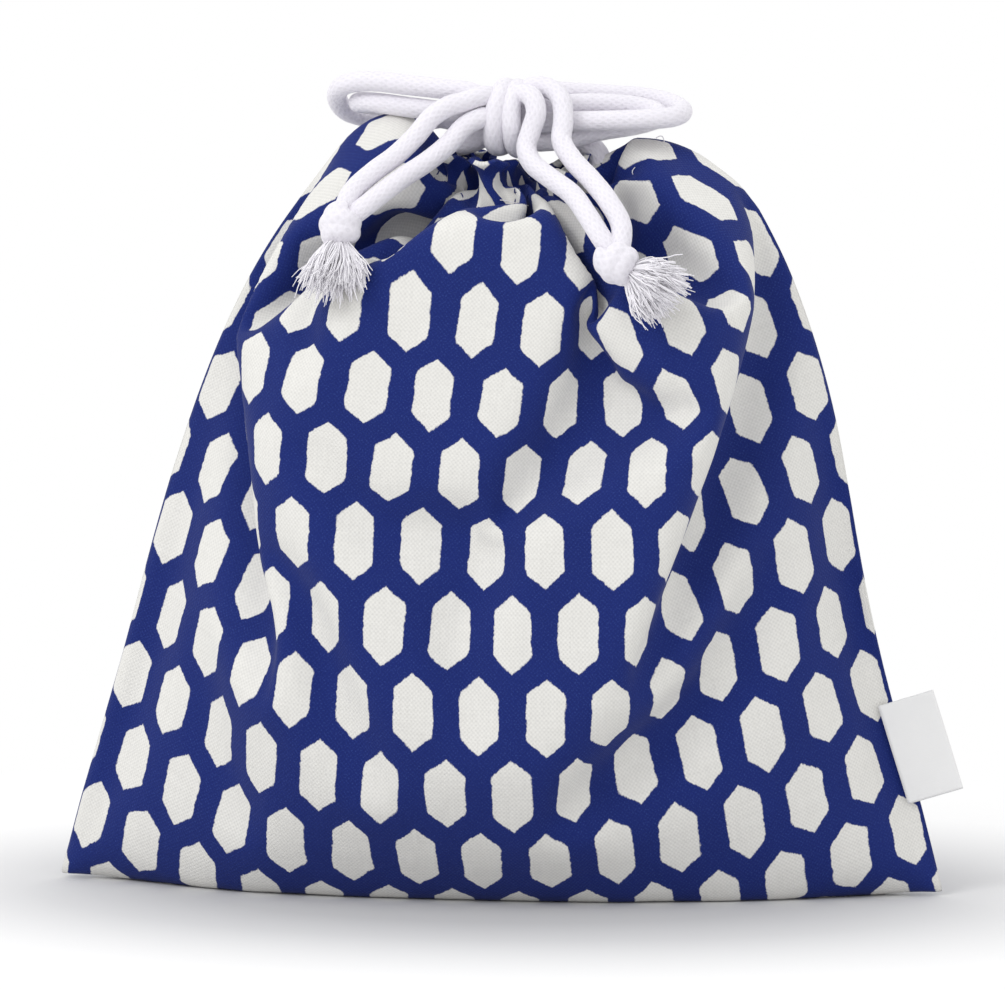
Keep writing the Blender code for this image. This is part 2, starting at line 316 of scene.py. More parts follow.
class Finish:
    """A material under construction: its Principled shader and the nodes that feed it."""

    def __init__(self, name, roughness, sheen=0.0):
        self.material = bpy.data.materials.new(name)
        self.material.use_nodes = True
        self.tree = self.material.node_tree
        self.shader = self.tree.nodes["Principled BSDF"]
        self.shader.inputs["Roughness"].default_value = roughness
        self.shader.inputs["Sheen Weight"].default_value = sheen
        self.shader.inputs["Specular IOR Level"].default_value = 0.25

    def node(self, kind, settings=None, **values):
        """Adds a node, sets it, and fills its sockets with values or links."""
        made = self.tree.nodes.new(kind)
        for key, value in (settings or {}).items():
            setattr(made, key, value)
        for key, value in values.items():
            slot = made.inputs[key.replace("_", " ")]
            if isinstance(value, Value):
                value = value.socket
            if isinstance(value, bpy.types.NodeSocket):
                self.tree.links.new(value, slot)
            else:
                slot.default_value = value
        return made

    def uv(self):
        """The piece's own map, as a vector and as two values."""
        vector = self.node("ShaderNodeUVMap", {"uv_map": "Flat"}).outputs[0]
        parts = self.node("ShaderNodeSeparateXYZ", Vector=vector)
        return vector, Value(self.tree, parts.outputs[0]), Value(self.tree, parts.outputs[1])

    def place(self):
        """Place in the object's own space, in metres."""
        return self.node("ShaderNodeTexCoord").outputs["Object"]

    def scaled(self, vector, factors):
        """A vector multiplied by a factor for each axis."""
        made = self.node("ShaderNodeVectorMath", {"operation": "MULTIPLY"})
        self.tree.links.new(vector, made.inputs[0])
        made.inputs[1].default_value = factors
        return made.outputs[0]

    def noise(self, vector, scale, detail=2.0, rough=0.5):
        """Soft noise between 0 and 1, at scale waves in a metre."""
        made = self.node(
            "ShaderNodeTexNoise", {"noise_dimensions": "3D"}, Vector=vector, Scale=scale,
            Detail=detail, Roughness=rough,
        )
        return Value(self.tree, made.outputs[0])

    def mix(self, factor, low, high):
        """Colour between low and high; each is a colour or a socket."""
        made = self.node("ShaderNodeMix", {"data_type": "RGBA"})
        for slot, value in ((made.inputs[0], factor), (made.inputs[6], low), (made.inputs[7], high)):
            value = value.socket if isinstance(value, Value) else value
            if isinstance(value, bpy.types.NodeSocket):
                self.tree.links.new(value, slot)
            else:
                slot.default_value = value
        return made.outputs[2]

    def finish(self, colour, height, distance, strength=1.0):
        """Links the colour and the bump, and gives back the material."""
        self.tree.links.new(colour, self.shader.inputs["Base Color"])
        bump = self.node("ShaderNodeBump", Height=height)
        bump.inputs["Distance"].default_value = distance
        bump.inputs["Strength"].default_value = strength
        self.tree.links.new(bump.outputs[0], self.shader.inputs["Normal"])
        return self.material


def shade(colour, factor):
    """A colour with full alpha, made lighter or darker."""
    return (*[min(1.0, channel * factor) for channel in colour], 1.0)


def canvas_material(cloth):
    """Plain-woven cotton with a staggered hexagon print in blue ink."""
    finish = Finish("printed_canvas", 0.82, sheen=0.05)
    vector, across, along = finish.uv()
    wobble = finish.noise(vector, 260.0, 3.0, 0.6) - 0.5
    ragged = finish.noise(finish.scaled(vector, (1.0, 0.55, 1.0)), 1500.0, 2.0, 0.7) - 0.5
    drift = finish.noise(vector, 42.0, 1.0) - 0.5
    printed_x = across + drift * 0.0030
    printed_y = along + (finish.noise(vector, 55.0, 1.0) - 0.5) * 0.0030
    half_width, side, tip = 0.0053, 0.0056, 0.0097
    slope = (tip - side) / half_width

    def hexagon(shift_x, shift_y):
        """Signed distance to the nearest hexagon of one of the two staggered lattices."""
        x = (printed_x + shift_x).math("PINGPONG", cloth.cell_pitch / 2)
        y = (printed_y + shift_y).math("PINGPONG", cloth.row_pitch)
        slant = (x * slope + y - tip) / math.hypot(1.0, slope)
        return (x - half_width).math("SMOOTH_MAX", slant, 0.0012)

    gap = hexagon(0.0, 0.0).math("MINIMUM", hexagon(cloth.cell_pitch / 2, cloth.row_pitch))
    gap = gap + wobble * 0.0012 + ragged * 0.0007
    ink = (gap / 0.00030 + 0.5).clamp()

    period = math.pi / cloth.thread
    warp = (across * period).math("SINE")
    weft = (along * period).math("SINE")
    over = warp * weft * 0.5 + 0.5
    ribs = (across * (2 * period)).math("COSINE").math("ABSOLUTE") * 0.25
    ribs = ribs + (along * (2 * period)).math("COSINE").math("ABSOLUTE") * 0.25
    upright, level = (
        finish.noise(finish.scaled(vector, stretch), 1900.0, 2.0, 0.6)
        for stretch in ((1.0, 0.06, 1.0), (0.06, 1.0, 1.0))
    )
    slubs = upright * 0.5 + level * 0.5
    height = over * 0.6 + ribs * 0.3 + (slubs - 0.5) * 1.2

    patches = finish.noise(vector, 30.0, 4.0, 0.6)
    flecks = (finish.noise(vector, 2600.0, 1.0) * 3.2 + over * 0.5 - 2.0).clamp()
    base = finish.mix((patches * 1.4 - 0.2).clamp(), shade(cloth.blue, 0.88), shade(cloth.blue, 1.16))
    blue = finish.mix(flecks * 0.50, base, (0.06, 0.11, 0.34, 1.0))
    # The ink is painted lighter where threads lie over and on the slubs: a painted highlight on the weave's
    # raised threads.
    blue = finish.mix((over * 0.55 + slubs * 0.5).clamp() * 0.35, blue, shade(cloth.blue, 1.9))
    # The unprinted cotton is painted darker in the weave's low places and lighter on its high ones: painted
    # shade and highlight of the weave.
    white = finish.mix((height * 0.9).clamp(), shade(cloth.ground, 0.82), shade(cloth.ground, 1.06))
    return finish.finish(finish.mix(ink, white, blue), height, 0.00016, 0.7)


def cord_material(cord):
    """Soft braided cotton: two sets of yarns crossing on a slant, with a fuzzy surface."""
    finish = Finish("cotton_cord", 0.9, sheen=0.35)
    _, angle, along = finish.uv()
    lean = along * (TURN / BRAID_LENGTH)
    around = angle * (TURN * BRAID_YARNS)
    braid = (around + lean).math("SINE").math("MAXIMUM", (around - lean).math("SINE"))
    fuzz = finish.noise(finish.place(), 1700.0, 4.0, 0.75)
    fluff = finish.noise(finish.place(), 420.0, 2.0, 0.5)
    height = braid * 0.20 + fuzz * 1.0 + fluff * 0.9
    # The cord is painted darker in the braid's grooves and the fuzz's low places: painted shade of its
    # relief.
    shadow = (braid * 0.25 + fuzz * 1.0).clamp()
    colour = finish.mix(shadow, shade(cord.colour, 0.86), shade(cord.colour, 1.06))
    colour = finish.mix((fluff * 1.6 - 0.4).clamp() * 0.5, colour, (0.84, 0.82, 0.87, 1.0))
    return finish.finish(colour, height, 0.00035, 0.8)


def fibre_material(cord):
    """Loose cotton yarns: brighter than the braid, with no fixed pattern."""
    finish = Finish("frayed_cotton", 0.95, sheen=0.4)
    fuzz = finish.noise(finish.place(), 2300.0, 3.0, 0.7)
    colour = finish.mix(fuzz, shade(cord.colour, 1.02), (0.97, 0.96, 0.98, 1.0))
    return finish.finish(colour, fuzz, 0.0003, 0.8)


def label_material():
    """Plain white tape with a fine twill and a slight sheen."""
    finish = Finish("label_tape", 0.55, sheen=0.2)
    vector, across, along = finish.uv()
    thread = 0.00042
    turn = TURN / thread
    twill = ((across + along) * turn).math("SINE") * 0.5 + 0.5
    warp = (across * (turn * 1.5)).math("SINE") * 0.5 + 0.5
    soil = finish.noise(vector, 180.0, 3.0, 0.6)
    height = twill * 0.6 + warp * 0.4
    # The tape is painted darker in the twill's low threads, a painted shade of its weave, and mottled at
    # random by the soil noise.
    twill_shade_and_soil = (height * 0.7 + soil * 0.4).clamp()
    colour = finish.mix(twill_shade_and_soil, shade((1.0, 1.0, 1.0), 0.72), shade((1.0, 1.0, 1.0), 0.80))
    return finish.finish(colour, height, 0.00006, 0.6)


def thread_material(cloth):
    """Blue sewing thread with a tight twist."""
    finish = Finish("sewing_thread", 0.6, sheen=0.1)
    twist = finish.noise(finish.place(), 3000.0, 1.0)
    colour = finish.mix(twist, shade(cloth.blue, 0.8), shade(cloth.blue, 1.5))
    return finish.finish(colour, twist, 0.00005, 0.5)


def floor_material():
    """White paper: matt near the pouch with a painted shadow that darkens it towards the pouch, and evenly
    lit from a short way off.
    """
    finish = Finish("paper_floor", 0.9)
    place = finish.place()
    grain = finish.noise(place, 9.0, 2.0)
    oval = finish.scaled(place, (0.60, 1.0, 1.0))
    reach = finish.node("ShaderNodeVectorMath", {"operation": "LENGTH"}, Vector=oval)
    reach = Value(finish.tree, reach.outputs["Value"])
    # The floor's colour is painted darker towards the pouch: a painted shadow round its base.
    near = ((reach - 0.055) / 0.09).clamp()
    colour = finish.mix(near, (0.55, 0.55, 0.56, 1.0), (0.97, 0.97, 0.97, 1.0))
    finish.finish(colour, grain, 0.0001, 0.1)
    far = ((reach - 0.080) / 0.13).clamp()
    glow = finish.node("ShaderNodeEmission", Color=(1.0, 1.0, 1.0, 1.0))
    blend = finish.node("ShaderNodeMixShader")
    output = finish.tree.nodes["Material Output"]
    for source, slot in (
        (far.socket, blend.inputs[0]), (finish.shader.outputs[0], blend.inputs[1]),
        (glow.outputs[0], blend.inputs[2]), (blend.outputs[0], output.inputs["Surface"]),
    ):
        finish.tree.links.new(source, slot)
    return finish.material


# ---------------------------------------------------------------- mesh helpers
def add_object(name, data):
    """A new object of this data in the scene, at the origin."""
    obj = bpy.data.objects.new(name, data)
    bpy.context.scene.collection.objects.link(obj)
    return obj


def set_map(mesh, uv):
    """Writes a position for each face corner into the mesh's own map."""
    layer = mesh.uv_layers.get("Flat") or mesh.uv_layers.new(name="Flat")
    layer.data.foreach_set("uv", uv.astype(np.float32).ravel())


def read_vectors(items, attribute):
    """One row of three numbers for each item, from an attribute such as co."""
    values = np.empty(len(items) * 3, np.float32)
    items.foreach_get(attribute, values)
    return values.reshape(-1, 3)


def mesh_object(name, points, faces, material, uv):
    """A smooth-shaded object from points, a list of faces and a map position per corner."""
    mesh = bpy.data.meshes.new(name)
    mesh.from_pydata(points.tolist(), [], faces)
    set_map(mesh, uv)
    mesh.shade_smooth()
    mesh.materials.append(material)
    return add_object(name, mesh)


def running_length(path):
    """Length along a polyline at each of its points, starting at 0."""
    return np.concatenate([[0.0], np.linalg.norm(np.diff(path, axis=0), axis=1).cumsum()])


def smooth_step(value):
    """s * s * (3 - 2 * s), with s the value held between 0 and 1."""
    share = np.clip(value, 0.0, 1.0)
    return share * share * (3 - 2 * share)


def even_points(points, count):
    """Resamples a polyline into a number of points at equal distances along it."""
    lengths = running_length(points)
    places = np.linspace(0.0, lengths[-1], count)
    return np.column_stack([np.interp(places, lengths, column) for column in points.T])


def smooth_curve(route, step):
    """Catmull-Rom curve through a route's points, in evenly spaced points about step apart."""
    points = np.array(route, float)
    padded = np.vstack([2 * points[0] - points[1], points, 2 * points[-1] - points[-2]])
    t = np.linspace(0.0, 1.0, 24, endpoint=False)[:, None]
    pieces = [
        0.5 * (2 * p1 + (p2 - p0) * t + (2 * p0 - 5 * p1 + 4 * p2 - p3) * t**2
               + (3 * p1 - p0 - 3 * p2 + p3) * t**3)
        for p0, p1, p2, p3 in zip(padded, padded[1:], padded[2:], padded[3:])
    ]
    fine = np.vstack([*pieces, points[-1:]])
    return even_points(fine, max(4, round(running_length(fine)[-1] / step) + 1))


def frames_along(path):
    """Tangents and two cross directions at each point, carried along without twist."""
    tangents = np.gradient(path, axis=0)
    tangents /= np.linalg.norm(tangents, axis=1)[:, None]
    side = np.cross(tangents[0], (0.0, 0.0, 1.0))
    if np.linalg.norm(side) < 1e-3:
        side = np.cross(tangents[0], (0.0, 1.0, 0.0))
    sides = np.empty_like(path)
    for index, tangent in enumerate(tangents):
        side = side - tangent * side.dot(tangent)
        side = side / np.linalg.norm(side)
        sides[index] = side
    return tangents, sides, np.cross(tangents, sides)


def corner_map(left, right, low, high):
    """Map positions of each grid face's corners, from its left, right, low and high sides."""
    corners = ((left, low), (right, low), (right, high), (left, high))
    spread = [np.stack(np.broadcast_arrays(x, y), -1) for x, y in corners]
    return np.stack(spread, 2).reshape(-1, 2)


def tube(path, radii, sides, relief=None):
    """Closed tube: rings of the given radii round a path, with a pole at each end.

    A ring's point at angle a is path + radius * (cos(a) * side + sin(a) * up), and
    relief(angle share, length) may change the radius of each point.
    """
    count = len(path)
    _, side, up = frames_along(path)
    angle = np.linspace(0.0, TURN, sides, endpoint=False)
    lengths = running_length(path)
    radius = np.broadcast_to(np.asarray(radii, float).reshape(-1, 1), (count, sides)).copy()
    if relief:
        radius *= relief(angle[None, :] / TURN, lengths[:, None])
    rings = path[:, None] + radius[..., None] * (
        np.cos(angle)[None, :, None] * side[:, None] + np.sin(angle)[None, :, None] * up[:, None]
    )
    points = np.vstack([rings.reshape(-1, 3), path[:1], path[-1:]])
    grid = np.arange(count * sides).reshape(count, sides)
    after = np.roll(grid, -1, axis=1)
    walls = np.stack([grid[:-1], after[:-1], after[1:], grid[1:]], -1).reshape(-1, 4)
    start, end = count * sides, count * sides + 1
    caps = [(start, after[0, i], grid[0, i]) for i in range(sides)]
    caps += [(end, grid[-1, i], after[-1, i]) for i in range(sides)]
    share = np.arange(sides + 1) / sides
    wall_map = corner_map(share[:-1], share[1:], lengths[:-1, None], lengths[1:, None])
    cap_map = np.zeros((len(caps) * 3, 2))
    return points, walls.tolist() + caps, np.vstack([wall_map, cap_map])


def tube_object(name, path, radii, sides, material, relief=None):
    """An object that is one tube."""
    points, faces, uv = tube(path, radii, sides, relief)
    return mesh_object(name, points, faces, material, uv)


def joined_tubes(name, paths, radii, sides, material):
    """One object from many tubes; radii holds one radius, or one row of radii, per path."""
    points, faces, maps, total = [], [], [], 0
    for path, radius in zip(paths, radii):
        got, walls, uv = tube(path, radius, sides)
        points.append(got)
        faces += [tuple(corner + total for corner in wall) for wall in walls]
        maps.append(uv)
        total += len(got)
    return mesh_object(name, np.vstack(points), faces, material, np.vstack(maps))


# ---------------------------------------------------------------- cloth
class FlatCut:
    """The pouch laid flat as a grid: columns run round it, rows run up from the bottom fold.

    Column 0 is the left seam, column `half` the right seam; the front is between them
    and the back returns. Both sides share the points of row 0, the fold.
    """

    def __init__(self, cloth):
        self.half = round(cloth.width / cloth.cell)
        self.columns = 2 * self.half
        self.rows = round(cloth.height / cloth.cell)
        self.hem_row = self.rows - round(cloth.hem / cloth.cell)
        self.row_height = cloth.height / self.rows
        self.index = np.zeros((self.rows + 1, self.columns), int)
        self.index[0, : self.half + 1] = np.arange(self.half + 1)
        self.index[0, self.half + 1:] = self.half - np.arange(1, self.half)
        self.index[1:] = self.half + 1 + np.arange(self.rows * self.columns).reshape(self.rows, -1)
        column = np.arange(self.columns)
        folded = np.where(column <= self.half, column, self.columns - column)
        self.across = (folded / self.half - 0.5) * cloth.width
        self.heights = np.linspace(0.0, cloth.height, self.rows + 1)
        self.side = np.where(column <= self.half, -1.0, 1.0)
        self.side[[0, self.half]] = 0.0

    def points(self):
        """Flat cloth standing upright, its two sides bowed apart by a few millimetres."""
        bow = 0.006 * np.sin(np.pi * (self.across / (2 * abs(self.across[0])) + 0.5)) * self.side
        grid = np.empty((self.rows + 1, self.columns, 3))
        grid[..., 0] = self.across
        grid[..., 1] = bow
        grid[..., 2] = self.heights[:, None]
        grid[0, :, 1] = 0.0
        flat = np.empty((self.index.max() + 1, 3))
        flat[self.index] = grid
        return flat

    def faces(self):
        """One square for each cell of the grid, facing outwards."""
        after = np.roll(self.index, -1, axis=1)
        squares = np.stack([self.index[:-1], after[:-1], after[1:], self.index[1:]], -1)
        return squares.reshape(-1, 4).tolist()

    def uv(self):
        """Flat-cut position of each face corner: the back continues below the fold."""
        column = np.arange(self.columns)
        left = self.across[column]
        right = self.across[(column + 1) % self.columns]
        sign = np.where(column < self.half, 1.0, -1.0)
        low, high = self.heights[:-1, None] * sign, self.heights[1:, None] * sign
        return corner_map(left, right, low, high)


def pleats(start, end, count, phase):
    """Half of the gathered mouth in plan: an ellipse with deep rounded pleats pushed outwards.

    At angle a the outline stands off the inner ellipse by the least depth plus the rest of
    it times |sin a|, all times half of 1 + a flattened cosine wave of the pleats, and by
    0.55 of that across. Points are even along the cloth.
    """
    angle = np.linspace(start, end, 2000)
    wave = np.cos(PLEATS * angle + phase + 0.5 * np.sin(3 * angle + phase))
    stand = PLEAT_DEPTH[0] + PLEAT_DEPTH[1] * np.abs(np.sin(angle))
    stand = stand * (0.5 + 0.5 * np.sign(wave) * np.abs(wave) ** 0.8)
    x = MOUTH_CENTRE[0] + (MOUTH_HALF[0] + 0.55 * stand) * np.cos(angle)
    y = MOUTH_CENTRE[1] + (MOUTH_HALF[1] + stand) * np.sin(angle)
    return even_points(np.column_stack([x, y]), count + 1)


def drawn_shut(cut, flat):
    """Where the hem and the two seams are drawn to: the goal shape of the simulation."""
    goal = flat.copy()
    front = pleats(math.pi, 2 * math.pi, cut.half, 0.3)
    back = pleats(0.0, math.pi, cut.half, 1.9)
    mouth = np.vstack([front[:-1], back[:-1]])
    centre = np.array(MOUTH_CENTRE)
    angle = np.arctan2(mouth[:, 1] - centre[1], mouth[:, 0] - centre[0])
    ripple = 0.0015 * np.sin(3 * angle + 0.5)
    hem_rows = cut.rows - cut.hem_row
    for row in range(hem_rows + 1):
        share = row / hem_rows
        plan = centre + (mouth - centre) * (1.0 + MOUTH_FLARE * share)
        height = MOUTH_TOP - hem_rows * cut.row_height * (1.0 - share) + ripple
        goal[cut.index[cut.hem_row + row]] = np.column_stack([plan, height])
    for column, sign in ((0, -1), (cut.half, 1)):
        outline = even_points(np.array(SEAM_OUTLINES[sign], float) * MM, cut.hem_row + 1)
        rise = np.clip((outline[:, 1] - 0.100) / 0.090, 0.0, 1.0)
        lean = np.clip(outline[:, 1] / 0.190, 0.0, 1.0) * MOUTH_CENTRE[1]
        across = sign * outline[:, 0] + rise * MOUTH_CENTRE[0]
        goal[cut.index[: cut.hem_row + 1, column]] = np.column_stack([across, lean, outline[:, 1]])
    return goal


def collider(name, corners):
    """A flat wall that the simulated cloth can't pass, facing the cloth."""
    mesh = bpy.data.meshes.new(name)
    mesh.from_pydata([[SIM_SCALE * value for value in corner] for corner in corners], [], [(0, 1, 2, 3)])
    wall = add_object(name, mesh)
    wall.modifiers.new("wall", "COLLISION")
    wall.collision.thickness_outer = 0.005
    wall.collision.cloth_friction = 5.0
    return wall


def colliders(depth):
    """A floor just under the cloth, and upright walls at the given depth from its middle."""
    far, floor, foot = WALL_REACH, -0.001, -0.1
    corners = {
        "floor": [(-far, -far, floor), (far, -far, floor), (far, far, floor), (-far, far, floor)],
        "front": [(-far, -depth, far), (far, -depth, far), (far, -depth, foot), (-far, -depth, foot)],
        "back": [(-far, depth, foot), (far, depth, foot), (far, depth, far), (-far, depth, far)],
    }
    return [collider(name, places) for name, places in corners.items()]


def add_groups(run, cut, cloth):
    """Gives the cloth its pins, and the share of the filling's pressure at each point."""
    pins = run.vertex_groups.new(name="pins")
    above = (np.arange(cut.rows + 1) - cut.hem_row) * cut.row_height
    band = (above >= CORD_BAND[0]) & (above <= CORD_BAND[1])
    pins.add(cut.index[band].ravel().tolist(), 1.0, "REPLACE")
    foot = cut.hem_row // 7
    for column in (0, cut.half):
        pins.add(cut.index[: cut.hem_row, column].tolist(), SEAM_PULL, "REPLACE")
        pins.add(cut.index[:foot, column].tolist(), 1.0, "REPLACE")
    soft = run.vertex_groups.new(name="filling")
    middle_width = 0.085
    for row in range(cut.rows + 1):
        near = float(smooth_step(1.0 + above[row] / cloth.neck))
        for column in range(cut.columns if row else cut.half + 1):
            middle = math.sqrt(max(0.0, 1.0 - (cut.across[column] / middle_width) ** 2))
            weight = 1.0 - (1.0 - cloth.neck_filling) * near * middle
            soft.add([int(cut.index[row, column])], weight, "REPLACE")


def add_solver(run, cloth):
    """Sets up Blender's cloth solver for a light canvas with a soft filling."""
    solver = run.modifiers.new("cloth", "CLOTH")
    fabric = solver.settings
    fabric.quality = 6
    fabric.mass = 0.15
    fabric.air_damping = 2.0
    fabric.tension_stiffness = fabric.compression_stiffness = 40.0
    fabric.shear_stiffness = 10.0
    fabric.bending_stiffness = cloth.stiffness
    fabric.tension_damping = fabric.compression_damping = fabric.shear_damping = 10.0
    fabric.bending_damping = 1.0
    fabric.vertex_group_mass = "pins"
    fabric.pin_stiffness = 20.0
    fabric.use_pressure = True
    fabric.uniform_pressure_force = cloth.filling
    fabric.vertex_group_pressure = "filling"
    fabric.effector_weights.gravity = 0.4
    contact = solver.collision_settings
    contact.use_self_collision = True
    contact.distance_min = contact.self_distance_min = 0.008
    contact.collision_quality = 2
    solver.point_cache.frame_start = 1
    solver.point_cache.frame_end = cloth.frames


def settle(cut, flat, goal, cloth):
    """Runs the cloth simulation and gives back the settled points.

    The hem is pinned and drawn from flat to its pleats over the first part of the run,
    the seams are pulled softly towards their outline, and even pressure stands in for
    the filling between two upright walls that keep the pouch slim.
    """
    mesh = bpy.data.meshes.new("cloth_run")
    mesh.from_pydata((flat * SIM_SCALE).tolist(), [], cut.faces())
    run = add_object("cloth_run", mesh)
    run.shape_key_add(name="flat")
    drawn = run.shape_key_add(name="drawn")
    drawn.data.foreach_set("co", (goal * SIM_SCALE).astype(np.float32).ravel())
    add_groups(run, cut, cloth)
    walls = colliders(cloth.depth / 2)
    add_solver(run, cloth)

    scene = bpy.context.scene
    frames_before = (scene.frame_start, scene.frame_end)
    scene.frame_start, scene.frame_end = 1, cloth.frames
    for frame_number, value in ((1, 0.0), (round(cloth.frames * 0.6), 1.0)):
        drawn.value = value
        drawn.keyframe_insert("value", frame=frame_number)
    for frame_number in range(1, cloth.frames + 1):
        scene.frame_set(frame_number)
    settled = run.evaluated_get(bpy.context.evaluated_depsgraph_get()).to_mesh()
    points = read_vectors(settled.vertices, "co").astype(float) / SIM_SCALE
    for helper in (run, *walls):
        bpy.data.objects.remove(helper, do_unlink=True)
    scene.frame_set(1)
    scene.frame_start, scene.frame_end = frames_before
    return points


def push_clear(points, centres, reach):
    """Moves each point that is nearer than reach to any centre straight away from it."""
    block = 2000
    for first in range(0, len(points), block):
        part = points[first: first + block]
        away = part[:, None] - centres[None]
        distance = np.linalg.norm(away, axis=2)
        nearest = distance.argmin(axis=1)
        rows = np.arange(len(part))
        gap = distance[rows, nearest]
        move = np.clip(reach - gap, 0.0, None) / np.maximum(gap, 1e-6)
        part += away[rows, nearest] * move[:, None]


def strand_path(name, step):
    """A strand's route as a smooth curve in metres."""
    return smooth_curve(STRANDS[name], step / MM) * MM


def raise_shoulders(points):
    """Lifts each shoulder's crest: a bell of its width across, fading in over the top."""
    foot, fade = 0.160, 0.045
    for place, width, lift in SHOULDER_LIFTS:
        bell = np.exp(-(((points[:, 0] - place) / width) ** 2))
        points[:, 2] += lift * bell * smooth_step((points[:, 2] - foot) / fade)


def rest_on_base(points, cloth):
    """Presses the base flat between the corners and rounds the front and back.

    Height z becomes z - sink * (1 - z / reach) below reach, where sink fades out towards
    the corners; depth y is scaled by a parabola of z that is widest at mid height.
    """
    reach, corner, fade = 0.110, 0.118, 0.055
    sink = cloth.base_sink * smooth_step((corner - np.abs(points[:, 0])) / fade)
    points[:, 2] -= sink * np.clip(1.0 - points[:, 2] / reach, 0.0, None)
    widest, span = 0.085, 0.095
    points[:, 1] *= 1.04 - 0.12 * np.clip((points[:, 2] - widest) / span, -1.0, 1.0) ** 2


class POUCH_OT_cloth(bpy.types.Operator):
    """Simulate the printed canvas pouch from its flat cut"""

    bl_idname = "pouch.cloth"
    bl_label = "Pouch cloth"

    def execute(self, context):
        cloth = context.scene.pouch_cloth
        cord = context.scene.pouch_cord
        cut = FlatCut(cloth)
        flat = cut.points()
        points = settle(cut, flat, drawn_shut(cut, flat), cloth)
        low = points[:, 2].min() + cloth.sag
        points[:, 2] = (points[:, 2] - low) * MOUTH_TOP / (MOUTH_TOP - low)
        raise_shoulders(points)
        rest_on_base(points, cloth)
        centres = np.vstack([strand_path(name, 0.002) for name in STRANDS])
        push_clear(points, centres, cord.diameter / 2 + CORD_GAP)
        push_clear(points, np.array(list(END_KNOTS.values())) * MM, KNOT_REACH)
        points[:, 2] = np.maximum(points[:, 2], 0.0)
        piece = mesh_object("canvas_pouch", points, cut.faces(), canvas_material(cloth), cut.uv())
        hem = piece.vertex_groups.new(name="hem")
        hem.add(cut.index[cut.hem_row:].ravel().tolist(), 1.0, "REPLACE")
        smooth = piece.modifiers.new("smooth", "SUBSURF")
        smooth.levels = smooth.render_levels = 1
        wall = piece.modifiers.new("thickness", "SOLIDIFY")
        wall.thickness = cloth.thickness * 2.2
        wall.offset = -1.0
        wall.vertex_group = "hem"
        wall.thickness_vertex_group = 0.45
        wall.use_even_offset = False
        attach(piece, "root")
        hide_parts("pouch_body")
        return {"FINISHED"}


# ---------------------------------------------------------------- cords
def braid(share, length):
    """Radius factor: low ridges of two sets of yarns that cross on a slant."""
    lean = length * (TURN / BRAID_LENGTH)
    around = share * (TURN * BRAID_YARNS)
    return 1.0 + BRAID_RELIEF * np.maximum(np.sin(around + lean), np.sin(around - lean))


class POUCH_OT_cords(bpy.types.Operator):
    """Make the four cord strands that tie the bow"""

    bl_idname = "pouch.cords"
    bl_label = "Drawcords"

    def execute(self, context):
        cord = context.scene.pouch_cord
        material = cord_material(cord)
        for name in STRANDS:
            path = strand_path(name, cord.step)
            piece = tube_object(name, path, cord.diameter / 2, cord.sides, material, braid)
            length = running_length(path)[-1]
            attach(piece, "root")
            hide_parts(*STRAND_NODES[name])
        return {"FINISHED"}


def cross_frame(direction):
    """Three unit vectors: across, depthwise and along a direction."""
    along = np.array(direction, float)
    along /= np.linalg.norm(along)
    depth = np.array((0.0, 1.0, 0.0)) - along * along[1]
    depth /= np.linalg.norm(depth)
    return np.cross(depth, along), depth, along


def knot_coil(origin, across, depth, along):
    """Centre line of an overhand knot: 2.7 turns on a barrel whose ends draw in."""
    turns = np.linspace(-0.35, 2.35, 120)
    angle = turns * TURN
    share = (turns - turns[0]) / (turns[-1] - turns[0])
    reach = 0.0031 * np.sin(np.pi * np.clip(share, 0.02, 0.98)) ** 0.35
    rise = (share - 0.5) * 0.0068 + 0.0010 * np.sin(angle)
    return (
        origin + (reach * np.cos(angle))[:, None] * across
        + (reach * 0.92 * np.sin(angle))[:, None] * depth + rise[:, None] * along
    )


def around_map(mesh, origin, axes):
    """Gives a round piece a map: angle about its axis, and length along it."""
    local = read_vectors(mesh.vertices, "co") - origin
    across, depth, along = (local @ axis for axis in axes)
    angle = np.arctan2(depth, across) / TURN
    corners = np.empty(len(mesh.loops), np.int32)
    mesh.loops.foreach_get("vertex_index", corners)
    set_map(mesh, np.column_stack([angle, along])[corners])


class POUCH_OT_end_knots(bpy.types.Operator):
    """Make the overhand knots that join the ends of each drawcord"""

    bl_idname = "pouch.end_knots"
    bl_label = "End knots"

    def execute(self, context):
        cord = context.scene.pouch_cord
        material = cord_material(cord)
        for side, centre in END_KNOTS.items():
            axes = cross_frame(TASSEL_DIRECTIONS[side])
            origin = np.array(centre) * MM
            body = tube_object(f"{side}_knot", knot_coil(origin, *axes), cord.diameter / 2, 20, material)
            core = origin + np.linspace(-0.0046, 0.0050, 12)[:, None] * axes[2]
            swell = 0.0041 * np.sqrt(np.clip(1 - np.linspace(-0.97, 0.97, 12) ** 2, 0.02, 1))
            heart = tube_object("heart", core, swell, 20, material)
            joined = bmesh.new()
            joined.from_mesh(body.data)
            joined.from_mesh(heart.data)
            joined.to_mesh(body.data)
            joined.free()
            bpy.data.objects.remove(heart, do_unlink=True)
            remesh = body.modifiers.new("blend", "REMESH")
            remesh.mode = "VOXEL"
            remesh.voxel_size = 0.00045
            soften = body.modifiers.new("soften", "SMOOTH")
            soften.iterations = 3
            blended = bpy.data.meshes.new_from_object(
                body.evaluated_get(context.evaluated_depsgraph_get())
            )
            body.modifiers.clear()
            body.data = blended
            if not blended.materials:
                blended.materials.append(material)
            around_map(blended, origin, axes)
            blended.shade_smooth()
            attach(body, "root")
            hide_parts(f"{side}_end_knot")
        return {"FINISHED"}


